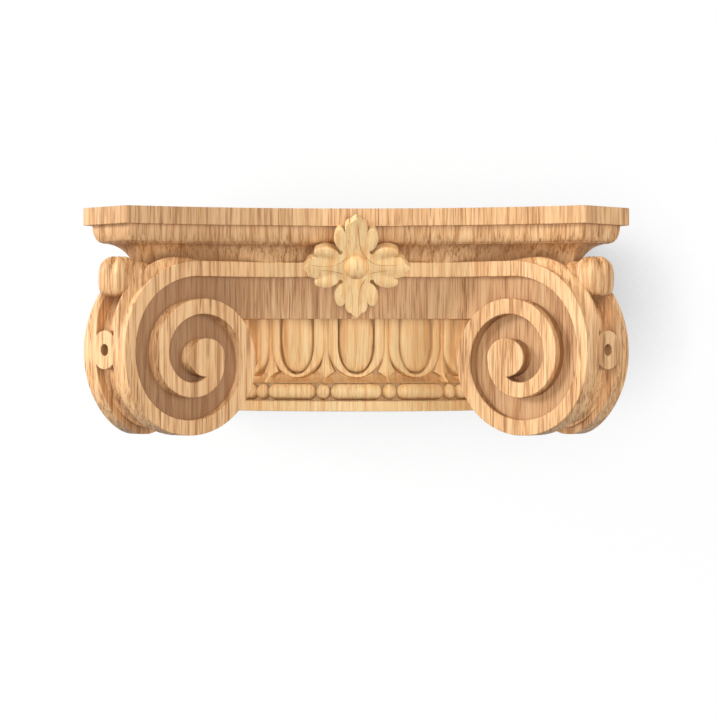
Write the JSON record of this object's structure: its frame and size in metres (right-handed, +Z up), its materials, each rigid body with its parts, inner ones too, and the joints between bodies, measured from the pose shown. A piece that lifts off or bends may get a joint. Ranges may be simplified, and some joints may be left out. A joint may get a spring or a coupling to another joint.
{
  "type": "ionic half capital",
  "caption": "Carved oak half capital for a half column against a wall, with diagonal volutes on two corner horns, a hollow-sided abacus, a leaf rosette and an egg-and-dart band over beads",
  "frame": {"origin": "middle of the flat back, on the wall, halfway between the neck's underside and the top of the abacus", "axes": "+X to the right as seen from the front, +Y into the wall, +Z up; the front faces -Y"},
  "size_m": [0.32, 0.16, 0.1334],
  "materials": {
    "oak": "sanded light oak with a clear matt oil, grain upright"
  },
  "bodies": {
    "root": {"capital": "oak"}
  },
  "joints": []
}
